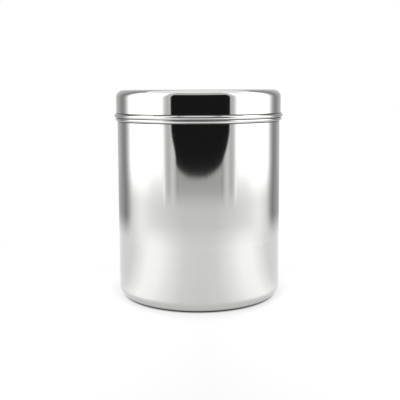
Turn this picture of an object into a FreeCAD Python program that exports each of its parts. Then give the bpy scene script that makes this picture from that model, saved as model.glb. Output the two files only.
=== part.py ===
"""A round steel tin with a slip-on lid, for a poured candle.

The tin is one deep-drawn sheet: floor, wall, a stop bead rolled out of the wall, and a neck
whose mouth is curled inwards. The lid is a second deep-drawn sheet, with a rolled rim, that slips
over the neck and stops just above the bead.

Millimetres. The origin is the centre of the surface that the tin stands on, and +Z is up.
Both pieces are surfaces of revolution: each is a path in the X-Z plane, given the sheet's
thickness on one side and turned about Z.
"""
import FreeCAD
import Part
import math
import os

# Driving dimensions
SHEET = 0.5             # thickness of the steel
HEIGHT = 150.0          # from the standing surface to the top of the closed lid
TIN_R = 59.2            # outer radius of the tin's wall and neck
LID_CLEARANCE = 0.3     # between the neck and the lid's skirt, on the radius

# Floor of the tin
CORNER_R = 7.8          # outer radius where the wall meets the floor
PANEL_R = 44.0          # flat middle of the floor, which is raised
PANEL_RISE = 1.0
PANEL_STEP = 2.4        # width of the smooth step from the raised panel to the standing ring

# Stop bead
BEAD_Z = 129.4          # height of its widest point
BEAD_OUT = 1.5          # how far it stands out of the wall
BEAD_LOW_R = 1.55       # radius of its crown below the widest point
BEAD_HIGH_R = 0.75      # radius of the tighter shoulder above it, where the lid stops
BEAD_FILLET_R = 0.5     # where the bead meets the wall

# Mouth of the tin
MOUTH_Z = 144.5
MOUTH_ROLL_R = 1.0      # outer radius of the inward curl
MOUTH_ROLL_TURN = 293.0  # degrees of curl

# Lid
LID_INNER_R = TIN_R + LID_CLEARANCE
LID_CORNER_R = 5.2      # outer radius at the edge of the top
RIM_Z = 130.35          # lowest point of the rolled rim
RIM_IN_R = 0.65         # radius of the bend from the skirt to the lowest point
RIM_OUT_R = 1.3         # radius from there to the roll's widest point
RIM_CROWN_R = 1.15      # radius above the roll's widest point
RIM_CROWN_TURN = 37.0   # degrees of that bend
RIM_CONE = 1.27         # length of the slope that closes the roll up towards the skirt


def point(radius, height):
    """A point of a path, from its distance to the axis and its height."""
    return FreeCAD.Vector(radius, 0, height)


def line(start, end):
    return Part.makeLine(point(*start), point(*end))


def arc(centre, radius, first, last):
    """An arc in the X-Z plane, by its first and last angle in degrees from +X towards +Z."""
    def at(angle):
        turn = math.radians(angle)
        return point(centre[0] + radius * math.cos(turn), centre[1] + radius * math.sin(turn))
    return Part.Arc(at(first), at((first + last) / 2), at(last)).toShape()


def turned_sheet(edges):
    """Gives a path the sheet's thickness, on its left as it runs, and turns it about Z."""
    path = Part.Wire(edges)
    section = path.makeOffset2D(SHEET, join=0, fill=True, openResult=True)
    return section.revolve(point(0, 0), FreeCAD.Vector(0, 0, 1), 360)


def floor_path():
    """Underside of the floor, from the axis out to the foot of the wall."""
    rise, width = PANEL_RISE, PANEL_STEP
    # Two equal arcs make the step: each turns by the same angle and takes half of the rise.
    turn = 2 * math.atan(rise / width)
    step_r = (rise / 2) / (1 - math.cos(turn))
    degrees = math.degrees(turn)
    ring_in = PANEL_R + width
    return [
        line((0, rise), (PANEL_R, rise)),
        arc((PANEL_R, rise - step_r), step_r, 90, 90 - degrees),
        arc((ring_in, step_r), step_r, 270 - degrees, 270),
        line((ring_in, 0), (TIN_R - CORNER_R, 0)),
        arc((TIN_R - CORNER_R, CORNER_R), CORNER_R, -90, 0),
    ]


def bead_path():
    """Outside of the stop bead: a fillet, the crown's two arcs and a second fillet."""
    low_x = TIN_R + BEAD_OUT - BEAD_LOW_R
    high_x = TIN_R + BEAD_OUT - BEAD_HIGH_R
    fillet_x = TIN_R + BEAD_FILLET_R

    def rise(crown_x, crown_r):
        """Height from the widest point to where the fillet meets the wall."""
        return math.sqrt((crown_r + BEAD_FILLET_R) ** 2 - (fillet_x - crown_x) ** 2)

    low_rise, high_rise = rise(low_x, BEAD_LOW_R), rise(high_x, BEAD_HIGH_R)
    low_lean = math.degrees(math.atan2(low_rise, fillet_x - low_x))
    high_lean = math.degrees(math.atan2(high_rise, fillet_x - high_x))
    edges = [
        arc((fillet_x, BEAD_Z - low_rise), BEAD_FILLET_R, 180, 180 - low_lean),
        arc((low_x, BEAD_Z), BEAD_LOW_R, -low_lean, 0),
        arc((high_x, BEAD_Z), BEAD_HIGH_R, 0, high_lean),
        arc((fillet_x, BEAD_Z + high_rise), BEAD_FILLET_R, 180 + high_lean, 180),
    ]
    return edges, BEAD_Z - low_rise, BEAD_Z + high_rise


def tin_body():
    """The tin: the path is its outside, up to the mouth and round the inward curl."""
    bead, bead_low, bead_high = bead_path()
    roll_z = MOUTH_Z - MOUTH_ROLL_R
    edges = floor_path()
    edges.append(line((TIN_R, CORNER_R), (TIN_R, bead_low)))
    edges += bead
    edges.append(line((TIN_R, bead_high), (TIN_R, roll_z)))
    edges.append(arc((TIN_R - MOUTH_ROLL_R, roll_z), MOUTH_ROLL_R, 0, MOUTH_ROLL_TURN))
    return turned_sheet(edges)


def lid():
    """The lid: the path is its inside, which turns outwards to become the rolled rim."""
    inner_corner = LID_CORNER_R - SHEET
    corner = (LID_INNER_R - inner_corner, HEIGHT - SHEET - inner_corner)
    foot_in = (LID_INNER_R + RIM_IN_R, RIM_Z + RIM_IN_R)
    foot_out = (foot_in[0], RIM_Z + RIM_OUT_R)
    crown = (foot_out[0] + RIM_OUT_R - RIM_CROWN_R, foot_out[1])
    turn = math.radians(RIM_CROWN_TURN)
    cone = (crown[0] + RIM_CROWN_R * math.cos(turn), crown[1] + RIM_CROWN_R * math.sin(turn))
    edges = [
        line((0, HEIGHT - SHEET), (corner[0], HEIGHT - SHEET)),
        arc(corner, inner_corner, 90, 0),
        line((LID_INNER_R, corner[1]), (LID_INNER_R, foot_in[1])),
        arc(foot_in, RIM_IN_R, 180, 270),
        arc(foot_out, RIM_OUT_R, 270, 360),
        arc(crown, RIM_CROWN_R, 0, RIM_CROWN_TURN),
        line(cone, (cone[0] - RIM_CONE * math.sin(turn), cone[1] + RIM_CONE * math.cos(turn))),
    ]
    return turned_sheet(edges)


PIECES = {"tin_body": tin_body, "lid": lid}

os.makedirs("parts", exist_ok=True)
for node, make in PIECES.items():
    shape = make()
    box = shape.optimalBoundingBox()
    print(node, shape.ShapeType, "solids", len(shape.Solids), "valid", shape.isValid(),
          "volume", round(shape.Volume), "z", round(box.ZMin, 3), round(box.ZMax, 3),
          "radius", round(box.XMax, 3))
    shape.exportStep("parts/%s.step" % node)
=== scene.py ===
"""A polished steel candle tin with a slip-on lid, standing in a small light tent.

Metres, in the CAD model's frame: +Z is up, and the origin is the centre of the surface that the
tin stands on. Both pieces are turned sheets, so each is a path in the X-Z plane, given the sheet's
thickness and swept about Z.
"""
import math

import bpy
import numpy as np
from mathutils import Matrix, Vector


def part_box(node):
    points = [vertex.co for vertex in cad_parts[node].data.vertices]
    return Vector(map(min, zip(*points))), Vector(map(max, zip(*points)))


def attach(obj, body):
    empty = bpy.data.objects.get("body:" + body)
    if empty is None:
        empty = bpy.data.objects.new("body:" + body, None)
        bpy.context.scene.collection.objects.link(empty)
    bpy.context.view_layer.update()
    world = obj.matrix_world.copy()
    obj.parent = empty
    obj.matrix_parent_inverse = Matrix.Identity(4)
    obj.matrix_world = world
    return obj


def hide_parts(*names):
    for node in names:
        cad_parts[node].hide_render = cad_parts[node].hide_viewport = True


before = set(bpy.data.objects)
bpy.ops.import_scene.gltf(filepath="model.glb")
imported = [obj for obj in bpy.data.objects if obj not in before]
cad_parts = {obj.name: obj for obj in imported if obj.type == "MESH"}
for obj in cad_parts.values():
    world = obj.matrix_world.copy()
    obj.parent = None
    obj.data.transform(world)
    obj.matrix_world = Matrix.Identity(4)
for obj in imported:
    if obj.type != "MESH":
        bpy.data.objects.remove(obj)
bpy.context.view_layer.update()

MM = 0.001
TIN_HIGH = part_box("tin_body")[1]
LID_LOW, LID_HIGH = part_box("lid")

# Sizes of the sheet and of its bends, the same as in the CAD model
SHEET = 0.5 * MM
CORNER_R = 7.8 * MM
PANEL_R = 44.0 * MM
PANEL_RISE = 1.0 * MM
PANEL_STEP = 2.4 * MM
BEAD_Z = 129.4 * MM
BEAD_OUT = 1.5 * MM
BEAD_LOW_R = 1.55 * MM
BEAD_HIGH_R = 0.75 * MM
BEAD_FILLET_R = 0.5 * MM
MOUTH_ROLL_R = 1.0 * MM
MOUTH_ROLL_TURN = 293.0
LID_CORNER_R = 5.2 * MM
RIM_IN_R = 0.65 * MM
RIM_OUT_R = 1.3 * MM
RIM_CROWN_R = 1.15 * MM
RIM_CROWN_TURN = 37.0
RIM_CONE = 1.27 * MM

# The rest follows from the CAD boxes
TIN_R = TIN_HIGH.x - BEAD_OUT
LID_INNER_R = LID_HIGH.x - RIM_OUT_R - RIM_IN_R
HEIGHT = LID_HIGH.z
MOUTH_Z = TIN_HIGH.z
RIM_Z = LID_LOW.z

# How finely the pieces are meshed
TURNS = 288             # steps around the axis
ARC_STEP = 4.0          # degrees of bend per step
LINE_STEP = 6.0 * MM
LINE_GUARD = 0.15 * MM  # a ring this close to each end keeps a flat stretch flat up to its bend
SAME_PLACE = 1e-7       # points closer than this are one


# Paths: lists of (radius, height, normal x, normal z), where the normal points off the sheet

def straight(start, end, normal):
    """A straight stretch, with a guard ring close to each end."""
    start, end = Vector(start), Vector(end)
    length = (end - start).length
    steps = max(1, round(length / LINE_STEP))
    shares = sorted({0.0, 1.0, LINE_GUARD / length, 1 - LINE_GUARD / length}
                    | {i / steps for i in range(1, steps)})
    return [(*(start.lerp(end, share)), *normal) for share in shares]


def bend(centre, radius, first, last, side=1):
    """An arc by its angles in degrees. side is 1 where the path shows its hollow, -1 its crown."""
    steps = max(2, math.ceil(abs(last - first) / ARC_STEP))
    made = []
    for angle in np.radians(np.linspace(first, last, steps + 1)):
        out = (math.cos(angle), math.sin(angle))
        made.append((centre[0] + radius * out[0], centre[1] + radius * out[1],
                     side * out[0], side * out[1]))
    return made


def sheet_outline(path):
    """The sheet's outline: the path, a rounded edge, and the other face back to the axis."""
    face = [(r, z, nx, nz) for r, z, nx, nz in path]
    back = [(r - SHEET * nx, z - SHEET * nz, -nx, -nz) for r, z, nx, nz in reversed(path)]
    r, z, nx, nz = path[-1]
    middle = (r - SHEET / 2 * nx, z - SHEET / 2 * nz)
    along = (face[-1][0] - face[-2][0], face[-1][1] - face[-2][1])
    start = math.degrees(math.atan2(nz, nx))
    turn = 180 if nx * along[1] - nz * along[0] > 0 else -180
    edge = bend(middle, SHEET / 2, start, start + turn)[1:-1]
    return face + edge + back


def swept(name, outline):
    """Sweeps an outline about Z into a closed mesh with the outline's own normals."""
    kept = [outline[0]]
    for place in outline[1:]:
        if math.dist(place[:2], kept[-1][:2]) > SAME_PLACE:
            kept.append(place)
    points, normals, rings = [], [], []
    for r, z, nx, nz in kept:
        count = TURNS if r > SAME_PLACE else 1
        rings.append(range(len(points), len(points) + count))
        for i in range(count):
            c, s = math.cos(math.tau * i / TURNS), math.sin(math.tau * i / TURNS)
            points.append((r * c, r * s, z))
            normals.append((nx * c, nx * s, nz) if count > 1 else (0, 0, math.copysign(1, nz)))
    faces = []
    for low, high in zip(rings, rings[1:]):
        for i in range(TURNS):
            j = (i + 1) % TURNS
            corners = [low[i % len(low)], low[j % len(low)],
                       high[j % len(high)], high[i % len(high)]]
            faces.append(list(dict.fromkeys(corners)))
    mesh = bpy.data.meshes.new(name)
    mesh.from_pydata(points, [], faces)
    mesh.polygons.foreach_set("use_smooth", [True] * len(mesh.polygons))
    mesh.normals_split_custom_set_from_vertices(normals)
    mesh.validate()
    piece = bpy.data.objects.new(name, mesh)
    bpy.context.scene.collection.objects.link(piece)
    return piece


def bead_rise(crown_r):
    """Height from the bead's widest point to where its fillet meets the wall."""
    return math.sqrt((crown_r + BEAD_FILLET_R) ** 2 - (crown_r + BEAD_FILLET_R - BEAD_OUT) ** 2)


def bead_path():
    """Outside of the stop bead: a fillet, the crown's two arcs and a second fillet."""
    crown_x, fillet_x = TIN_R + BEAD_OUT, TIN_R + BEAD_FILLET_R
    low_x, high_x = crown_x - BEAD_LOW_R, crown_x - BEAD_HIGH_R
    low_rise, high_rise = bead_rise(BEAD_LOW_R), bead_rise(BEAD_HIGH_R)
    low_lean = math.degrees(math.atan2(low_rise, fillet_x - low_x))
    high_lean = math.degrees(math.atan2(high_rise, fillet_x - high_x))
    return [
        *bend((fillet_x, BEAD_Z - low_rise), BEAD_FILLET_R, 180, 180 - low_lean, -1),
        *bend((low_x, BEAD_Z), BEAD_LOW_R, -low_lean, 0),
        *bend((high_x, BEAD_Z), BEAD_HIGH_R, 0, high_lean),
        *bend((fillet_x, BEAD_Z + high_rise), BEAD_FILLET_R, 180 + high_lean, 180, -1),
    ]


def tin_path():
    """Outside of the tin, from the middle of its floor up the wall to the curled mouth."""
    turn = 2 * math.atan(PANEL_RISE / PANEL_STEP)
    step_r = (PANEL_RISE / 2) / (1 - math.cos(turn))
    degrees = math.degrees(turn)
    ring_in = PANEL_R + PANEL_STEP
    roll_z = MOUTH_Z - MOUTH_ROLL_R
    down, out = (0, -1), (1, 0)
    return [
        *straight((0, PANEL_RISE), (PANEL_R, PANEL_RISE), down),
        *bend((PANEL_R, PANEL_RISE - step_r), step_r, 90, 90 - degrees, -1),
        *bend((ring_in, step_r), step_r, 270 - degrees, 270),
        *straight((ring_in, 0), (TIN_R - CORNER_R, 0), down),
        *bend((TIN_R - CORNER_R, CORNER_R), CORNER_R, -90, 0),
        *straight((TIN_R, CORNER_R), (TIN_R, BEAD_Z - bead_rise(BEAD_LOW_R)), out),
        *bead_path(),
        *straight((TIN_R, BEAD_Z + bead_rise(BEAD_HIGH_R)), (TIN_R, roll_z), out),
        *bend((TIN_R - MOUTH_ROLL_R, roll_z), MOUTH_ROLL_R, 0, MOUTH_ROLL_TURN),
    ]


def lid_path():
    """Inside of the lid, from the middle of its top down the skirt and out round the rolled rim."""
    inner_corner = LID_CORNER_R - SHEET
    corner = (LID_INNER_R - inner_corner, HEIGHT - SHEET - inner_corner)
    foot_in = (LID_INNER_R + RIM_IN_R, RIM_Z + RIM_IN_R)
    foot_out = (foot_in[0], RIM_Z + RIM_OUT_R)
    crown = (foot_out[0] + RIM_OUT_R - RIM_CROWN_R, foot_out[1])
    turn = math.radians(RIM_CROWN_TURN)
    slope = (math.cos(turn), math.sin(turn))
    cone = (crown[0] + RIM_CROWN_R * slope[0], crown[1] + RIM_CROWN_R * slope[1])
    return [
        *straight((0, HEIGHT - SHEET), (corner[0], HEIGHT - SHEET), (0, -1)),
        *bend(corner, inner_corner, 90, 0, -1),
        *straight((LID_INNER_R, corner[1]), (LID_INNER_R, foot_in[1]), (-1, 0)),
        *bend(foot_in, RIM_IN_R, 180, 270),
        *bend(foot_out, RIM_OUT_R, 270, 360),
        *bend(crown, RIM_CROWN_R, 0, RIM_CROWN_TURN),
        *straight(cone, (cone[0] - RIM_CONE * slope[1], cone[1] + RIM_CONE * slope[0]), slope),
    ]


# Materials

def new_material(name):
    material = bpy.data.materials.new(name)
    material.use_nodes = True
    material.node_tree.nodes.clear()
    return material, material.node_tree


def add(tree, kind, inputs=None, **settings):
    """Adds a node. An input's value is a number, a colour or another node's output."""
    node = tree.nodes.new(kind)
    for key, value in settings.items():
        setattr(node, key, value)
    for key, value in (inputs or {}).items():
        if isinstance(value, bpy.types.NodeSocket):
            tree.links.new(value, node.inputs[key])
        else:
            node.inputs[key].default_value = value
    return node


def round_place(tree):
    """A point's X, Y and Z sockets, and its distance to the axis."""
    place = add(tree, "ShaderNodeTexCoord").outputs["Object"]
    split = add(tree, "ShaderNodeSeparateXYZ", {"Vector": place}).outputs
    flat = add(tree, "ShaderNodeCombineXYZ", {"X": split["X"], "Y": split["Y"]})
    radius = add(tree, "ShaderNodeVectorMath", {0: flat.outputs[0]}, operation="LENGTH")
    return split["X"], split["Y"], split["Z"], radius.outputs["Value"]


def polishing_rings(tree, around, across):
    """Noise drawn out into rings about the axis.

    It changes with the height along the wall and with the radius on a flat. around and across are
    how many times a metre it changes along a ring and across the rings.
    """
    x, y, height, radius = round_place(tree)
    run = add(tree, "ShaderNodeMath", {0: radius, 1: height}, operation="ADD")
    lines = add(tree, "ShaderNodeCombineXYZ", {"X": x, "Y": y, "Z": run.outputs[0]})
    scaled = add(tree, "ShaderNodeVectorMath",
                 {0: lines.outputs[0], 1: (around, around, across)}, operation="MULTIPLY")
    noise = add(tree, "ShaderNodeTexNoise",
                {"Vector": scaled.outputs[0], "Scale": 1.0, "Detail": 3.0, "Roughness": 0.6})
    return noise.outputs["Fac"]


def ranged(tree, factor, low, high, start=0.3, end=0.7):
    """Maps the middle of a noise factor to low..high."""
    return add(tree, "ShaderNodeMapRange",
               {"Value": factor, "From Min": start, "From Max": end, "To Min": low, "To Max": high}
               ).outputs["Result"]


def crease(tree, shade_crease_z):
    """1 in a crease on the outside at a height, and 0 away from it: where the dark line of painted
    shade goes.
    """
    height, radius = round_place(tree)[2:]
    near = add(tree, "ShaderNodeMath", {0: height, 1: shade_crease_z, 2: CREASE_H}, operation="COMPARE")
    outside = add(tree, "ShaderNodeMath", {0: radius, 1: TIN_R - SHEET / 2},
                  operation="GREATER_THAN")
    both = add(tree, "ShaderNodeMath", {0: near.outputs[0], 1: outside.outputs[0]},
               operation="MULTIPLY")
    return both.outputs[0]


# The colour sockets of a Mix node, which follow its number and vector ones
MIX_A, MIX_B, MIX_RESULT = 6, 7, 2


def steel(name, tone, roughness, anisotropy, ring_depth, wave_depth, shade_crease_z=None):
    """Polished stainless steel with rings of polishing marks and a faint waviness from drawing.

    tone and roughness are (low, high) pairs, and the depths are metres of relief. The last argument
    is the height of the outer crease, where a near-black line of painted shade stands in for the
    shade that falls in it.
    """
    material, tree = new_material(name)
    fine = polishing_rings(tree, around=18, across=1900)
    broad = polishing_rings(tree, around=9, across=260)
    haze = add(tree, "ShaderNodeTexNoise",
               {"Vector": add(tree, "ShaderNodeTexCoord").outputs["Object"],
                "Scale": 22.0, "Detail": 4.0, "Roughness": 0.55}).outputs["Fac"]
    wave = add(tree, "ShaderNodeTexNoise",
               {"Vector": add(tree, "ShaderNodeTexCoord").outputs["Object"],
                "Scale": 16.0, "Detail": 1.0}).outputs["Fac"]
    tones = add(tree, "ShaderNodeMix", {"Factor": ranged(tree, broad, 0.0, 1.0)}, data_type="RGBA")
    tones.inputs[MIX_A].default_value = (*tone[0], 1)
    tones.inputs[MIX_B].default_value = (*tone[1], 1)
    colour = tones.outputs[MIX_RESULT]
    # Painted shade: a near-black line along the outer crease, standing in for the crease's own
    # shade
    if shade_crease_z is not None:
        painted_shade = add(tree, "ShaderNodeMix", {"Factor": crease(tree, shade_crease_z)}, data_type="RGBA")
        tree.links.new(colour, painted_shade.inputs[MIX_A])
        painted_shade.inputs[MIX_B].default_value = (*CREASE_SHADE_TONE, 1)
        colour = painted_shade.outputs[MIX_RESULT]
    spread = add(tree, "ShaderNodeMath",
                 {0: ranged(tree, haze, *roughness), 1: ranged(tree, fine, 0.9, 1.1)},
                 operation="MULTIPLY")
    waves = add(tree, "ShaderNodeBump", {"Height": wave, "Distance": wave_depth, "Strength": 1.0})
    rings = add(tree, "ShaderNodeBump", {"Height": fine, "Distance": ring_depth, "Strength": 1.0,
                                         "Normal": waves.outputs[0]})
    tangent = add(tree, "ShaderNodeTangent", direction_type="RADIAL", axis="Z")
    shader = add(tree, "ShaderNodeBsdfPrincipled",
                 {"Base Color": colour, "Metallic": 1.0, "Roughness": spread.outputs[0],
                  "Anisotropic": anisotropy, "Anisotropic Rotation": 0.25,
                  "Normal": rings.outputs[0], "Tangent": tangent.outputs[0]})
    add(tree, "ShaderNodeOutputMaterial", {"Surface": shader.outputs[0]})
    return material


# A dark line of painted shade in the outer crease under the tin's bead and above the lid's rim
CREASE_H = 0.40 * MM    # the line reaches this far above and below its height
CREASE_SHADE_TONE = (0.10, 0.10, 0.097)
POLISHED_TONE = ((0.561, 0.561, 0.551), (0.571, 0.571, 0.561))
SATIN_TONE = ((0.470, 0.470, 0.460), (0.540, 0.540, 0.530))


def dress(piece, inside, shade_crease_z):
    """Polished steel with a line of painted shade in its outer crease, and a satin one on the faces
    that inside picks by their centre and normal.
    """
    piece.data.materials.append(steel(
        piece.name + "_polished", POLISHED_TONE, roughness=(0.048, 0.066), anisotropy=0.5,
        ring_depth=0.14e-6, wave_depth=5e-6, shade_crease_z=shade_crease_z))
    piece.data.materials.append(steel(
        piece.name + "_satin", SATIN_TONE, roughness=(0.24, 0.32), anisotropy=0.6,
        ring_depth=1.6e-6, wave_depth=14e-6))
    for face in piece.data.polygons:
        face.material_index = 1 if inside(face.center, face.normal) else 0


def faces_axis(centre, normal):
    return normal.x * centre.x + normal.y * centre.y < 0


FACING = 0.5            # a face looks up or down when its normal's z is beyond this


def tin_inside(centre, normal):
    """The inner face of the tin's wall and floor."""
    wall = faces_axis(centre, normal) and centre.z < MOUTH_Z - 2 * MOUTH_ROLL_R
    return wall or (normal.z > FACING and centre.z < CORNER_R)


def lid_inside(centre, normal):
    """The inner face of the lid's top and skirt."""
    skirt = faces_axis(centre, normal) and math.hypot(*centre[:2]) < LID_INNER_R + SHEET / 4
    return skirt or (normal.z < -FACING and centre.z > RIM_Z + 4 * RIM_OUT_R)


tin = swept("tin", sheet_outline(tin_path()))
# the line of painted shade sits in the crease under the bead
dress(tin, tin_inside, BEAD_Z - bead_rise(BEAD_LOW_R) + CREASE_H / 2)
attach(tin, "tin")
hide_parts("tin_body")

lid = swept("slip_lid", sheet_outline(lid_path()))
rim_turn = math.radians(RIM_CROWN_TURN)
rim_rise = RIM_OUT_R + RIM_CROWN_R * math.sin(rim_turn) + RIM_CONE * math.cos(rim_turn)
# on the lid, the line of painted shade sits in the crease above the rolled rim
dress(lid, lid_inside, RIM_Z + rim_rise - CREASE_H / 4)
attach(lid, "lid")
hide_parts("lid")


# Stage: a white floor inside a round light tent, whose light the polished steel mirrors

TENT_R = 0.40
TENT_H = 0.62
TENT_TURN = 1.5         # degrees that the tent is turned from the camera's direction

# How finely the stage is meshed
WALL_STEPS = 720        # steps around the wall,
SHEET_STEPS = 180       # and around the ceiling and the floor
WALL_FINE_H = 0.13      # the wall's rings lie close together up to this height
WALL_FINE_RINGS = 66
MIDDLE_R = 0.001        # radius of the ceiling's and the floor's innermost ring
TOP_EDGE = 0.001        # the light above the opening changes within this, up and down,
CEILING_EDGE = 0.01     # and at the ceiling's front within this, in and out

# Light sent out at so many degrees from the front, the same on both sides. The wall's upper part
# has a softbox at each side. Its foot is lit more evenly, and so is the far floor. FLOOR_NEAR is
# the floor round the tin.
WALL_HIGH = (
    (0, 0.80), (38, 0.84), (43, 0.90), (45.5, 1.15), (47.5, 1.80), (50.5, 2.4), (98, 2.4),
    (103, 1.9), (107, 1.35), (112, 0.75), (118, 0.40), (124, 0.35), (131, 0.44), (138, 0.56),
    (148, 0.62), (160, 0.68), (180, 0.72),
)
WALL_LOW = (
    (0, 0.93), (20, 0.93), (34, 1.00), (46, 1.08), (60, 1.18), (67, 1.25), (76, 1.37), (84, 1.42),
    (95, 1.25), (103, 1.00), (110, 0.58), (118, 0.32), (126, 0.41), (135, 0.46), (147, 0.54),
    (160, 0.66), (180, 0.72),
)
FLOOR_NEAR = (
    (0, 1.06), (18, 1.10), (35, 1.34), (50, 1.60), (66, 1.66), (80, 1.42), (95, 1.16), (112, 1.10),
    (130, 1.05), (180, 1.04),
)
SOFTBOX_AT = 48                 # degrees from the front to where a softbox starts
SOFTBOX_FOOT = (0.014, 0.071)   # the wall's foot turns into its upper part between these heights,
SOFTBOX_LIFT = 0.025            # and the upper one is this much higher at a softbox's front end,
SOFTBOX_LIFT_TURN = (76, 60)    # where the lift starts and is complete at these degrees
FRONT_FOOT = (0.010, 0.042)     # the same heights in front of the softboxes
FLOOR_FOOT = 0.97               # light of the floor right beside the tin
FOOT_TURN = (0.056, 0.080)      # it turns into the near floor between these radii,
FLOOR_TURN = (0.22, 0.40)       # and the near floor into the far one between these
FLOOR_SEEN = 0.24               # radius of the floor that the camera sees

# The dark front opening, which hangs down in a U
OPENING_TOP = 0.42
OPENING_LOW = 0.049
OPENING_ROUND = 0.019           # height of the U's rounded end
OPENING_SHAPE = 0.65            # how pointed that end is: 0.5 is half an ellipse
OPENING_TAPER = (0.055, 0.108)  # the sides spread between these heights
OPENING_HALF = (28.0, 37.3)     # degrees from its middle, at those heights
OPENING_LEAN = (-3.2, 1.0)      # degrees of its middle, at its end and where it hangs straight,
OPENING_STRAIGHT = 0.085        # which is from this height up
OPENING_EDGE = 1.0              # degrees over which its side edges fade, to each side
OPENING_EDGE_H = 0.0025         # height over which its end fades
OPENING_LIGHT = 0.014
FABRIC_UNDER = 0.60             # light of the fabric below the opening,
FABRIC_TURN = (24, 36)          # which turns into the wall's own between these degrees
FOLD_AT = 34.3                  # the first bright fold beside the opening, in degrees
FOLD_STEP = 12.7
FOLD_DEPTH = 0.13
FOLD_START = (22, 30)           # the folds start and are complete at these degrees,
FOLD_END = (48, 44)             # and from the far side at these
ABOVE_OPENING = 0.70            # light of the wall and of the ceiling's edge above the opening
CEILING = 1.33
CEILING_FRONT = 0.24            # in front of the softboxes, the ceiling is bright up to this radius


def eased(value, start, end):
    """0 at start, 1 at end, and smooth between them. Either may be the larger."""
    share = min(max((value - start) / (end - start), 0.0), 1.0)
    return share * share * (3 - 2 * share)


def blend(first, second, share):
    return first + (second - first) * share


def level(table, degrees):
    """A table's light at an angle from the front, to either side."""
    return float(np.interp(abs(degrees), *zip(*table)))


def in_opening(degrees, height):
    """1 inside the front opening and 0 outside."""
    middle = blend(*OPENING_LEAN, eased(height, OPENING_LOW, OPENING_STRAIGHT))
    half = blend(*OPENING_HALF, eased(height, *OPENING_TAPER))
    down = (OPENING_LOW + OPENING_ROUND - height) / OPENING_ROUND
    if down >= 1:
        return 0.0
    if down > 0:
        half *= (1 - down ** 2) ** OPENING_SHAPE
    side = eased(half - abs(degrees - middle), -OPENING_EDGE, OPENING_EDGE)
    return side * eased(height, OPENING_LOW, OPENING_LOW + OPENING_EDGE_H)


def wall_light(degrees, height):
    """How bright the tent's wall is at an angle from its front and a height."""
    turn = abs(degrees)
    low, high = level(WALL_LOW, turn), level(WALL_HIGH, turn)
    if turn >= SOFTBOX_AT:
        start, end = SOFTBOX_FOOT
        end += SOFTBOX_LIFT * eased(turn, *SOFTBOX_LIFT_TURN)
        return blend(low, high, eased(height, start, end))
    if height > OPENING_TOP:
        return ABOVE_OPENING
    high = blend(FABRIC_UNDER, high, eased(turn, *FABRIC_TURN))
    folds = eased(turn, *FOLD_START) * eased(turn, *FOLD_END)
    high += FOLD_DEPTH * folds * math.cos(math.tau * (turn - FOLD_AT) / FOLD_STEP)
    light = blend(low, high, eased(height, *FRONT_FOOT))
    return blend(light, OPENING_LIGHT, in_opening(degrees, height))


def floor_light(degrees, reach):
    """How bright the floor is at an angle from its front and a radius."""
    near = blend(FLOOR_FOOT, level(FLOOR_NEAR, degrees), eased(reach, *FOOT_TURN))
    return blend(near, level(WALL_LOW, degrees), eased(reach, *FLOOR_TURN))


def ceiling_light(degrees, radius):
    in_front = abs(degrees) < SOFTBOX_AT and radius > CEILING_FRONT
    return ABOVE_OPENING if in_front else CEILING


def stage_material(name, shader_of):
    material, tree = new_material(name)
    add(tree, "ShaderNodeOutputMaterial", {"Surface": shader_of(tree)})
    return material


def stage_piece(name, points, faces, material):
    mesh = bpy.data.meshes.new(name)
    mesh.from_pydata(points, [], faces)
    mesh.materials.append(material)
    piece = bpy.data.objects.new(name, mesh)
    bpy.context.scene.collection.objects.link(piece)
    return piece


def lit_sheet(name, rings, columns, light_at, shader_of):
    """A sheet of (radius, height) rings, which holds the light that each point sends out."""
    points, lights = [], []
    for radius, height in rings:
        for i in range(columns):
            degrees = -180 + 360 * i / columns
            turn = math.radians(degrees + TENT_TURN)
            points.append((radius * math.sin(turn), -radius * math.cos(turn), height))
            lights.append(light_at(degrees, radius, height))
    faces = []
    for row in range(len(rings) - 1):
        for i in range(columns):
            j = (i + 1) % columns
            low, high = row * columns, (row + 1) * columns
            faces.append((low + j, low + i, high + i, high + j))
    piece = stage_piece(name, points, faces, stage_material(name, shader_of))
    piece.data.attributes.new("light", "FLOAT", "POINT").data.foreach_set("value", lights)
    return piece


def own_light(tree):
    return add(tree, "ShaderNodeAttribute", attribute_name="light").outputs["Fac"]


def glow(tree):
    return add(tree, "ShaderNodeEmission", {"Strength": own_light(tree)}).outputs[0]


def light_tent():
    """The round wall, the ceiling and the outer floor. The camera looks straight through them."""
    heights = [*np.linspace(0, WALL_FINE_H, WALL_FINE_RINGS), 0.2,
               OPENING_TOP - TOP_EDGE, OPENING_TOP + TOP_EDGE, TENT_H]
    wall = lit_sheet("tent_wall", [(TENT_R, height) for height in heights], WALL_STEPS,
                     lambda degrees, radius, height: wall_light(degrees, height), glow)
    rims = [TENT_R, CEILING_FRONT + CEILING_EDGE, CEILING_FRONT - CEILING_EDGE, MIDDLE_R]
    ceiling = lit_sheet("tent_ceiling", [(radius, TENT_H) for radius in rims], SHEET_STEPS,
                        lambda degrees, radius, height: ceiling_light(degrees, radius), glow)
    reaches = np.linspace(TENT_R, FLOOR_SEEN, 12)
    skirt = lit_sheet("tent_floor", [(reach, 0.0) for reach in reaches], SHEET_STEPS,
                      lambda degrees, reach, height: floor_light(degrees, reach), glow)
    for piece in (wall, ceiling, skirt):
        piece.visible_camera = False


BOARD = 0.20            # share of the light from around that the floor scatters
BOARD_LIGHT = 0.24      # about how bright that makes it
CONTACT = (0.0532, 0.0571)  # the shadow under the tin's corner fades out between these radii


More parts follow.
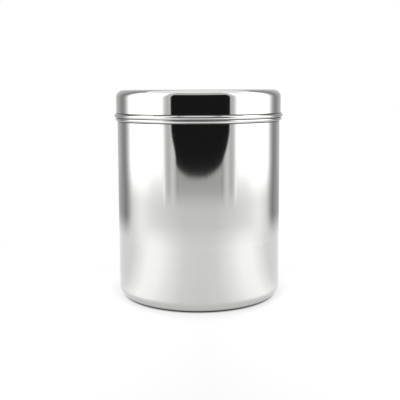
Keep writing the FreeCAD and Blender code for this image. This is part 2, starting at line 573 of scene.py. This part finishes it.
def board(tree):
    """White board: it scatters some of the light, and sends out the rest of its brightness."""
    place = add(tree, "ShaderNodeTexCoord").outputs["Object"]
    grain = add(tree, "ShaderNodeTexNoise", {"Vector": place, "Scale": 400.0, "Detail": 2.0})
    relief = add(tree, "ShaderNodeBump",
                 {"Height": grain.outputs["Fac"], "Distance": 2e-5, "Strength": 0.3})
    scatter = add(tree, "ShaderNodeBsdfDiffuse", {"Color": (BOARD, BOARD, BOARD, 1),
                                                  "Roughness": 1.0, "Normal": relief.outputs[0]})
    return add(tree, "ShaderNodeAddShader", {0: scatter.outputs[0], 1: glow(tree)}).outputs[0]


def board_light(degrees, reach):
    """What the board sends out itself."""
    return (floor_light(degrees, reach) - BOARD_LIGHT) * eased(reach, *CONTACT)


def white_floor():
    """The floor that the camera sees, with its rings close together at the contact shadow."""
    reaches = [MIDDLE_R, 0.05, *np.linspace(0.0530, 0.0575, 13), 0.062, 0.066, 0.07, 0.075, 0.08,
               *np.linspace(0.1, FLOOR_SEEN, 8)]
    lit_sheet("floor", [(reach, 0.0) for reach in reversed(reaches)], SHEET_STEPS,
              lambda degrees, reach, height: board_light(degrees, reach), board)


light_tent()
white_floor()

world = bpy.data.worlds.new("white")
bpy.context.scene.world = world
world.use_nodes = True
background = world.node_tree.nodes["Background"]
background.inputs["Color"].default_value = (1, 1, 1, 1)
background.inputs["Strength"].default_value = 1.0


# Camera, at the height of the lid's top and looking slightly down

CAMERA_AWAY = 0.5198    # from the axis
CAMERA_HEIGHT = HEIGHT - 0.0011
CAMERA_DOWN = 5.46      # degrees
CAMERA_ROLL = -0.26     # degrees
CAMERA_LENS = 63.55     # millimetres
CAMERA_SHIFT = (0.0033, -0.103)

camera = bpy.data.objects.new("camera", bpy.data.cameras.new("camera"))
camera.data.lens = CAMERA_LENS
camera.data.sensor_width = 36.0
camera.data.shift_x, camera.data.shift_y = CAMERA_SHIFT
camera.data.clip_start = 0.01
aim = Matrix.Rotation(math.radians(90 - CAMERA_DOWN), 4, "X")
roll = Matrix.Rotation(math.radians(CAMERA_ROLL), 4, "Z")
camera.matrix_world = Matrix.Translation((0, -CAMERA_AWAY, CAMERA_HEIGHT)) @ aim @ roll
bpy.context.scene.collection.objects.link(camera)
bpy.context.scene.camera = camera
bpy.context.scene.view_settings.view_transform = "Standard"
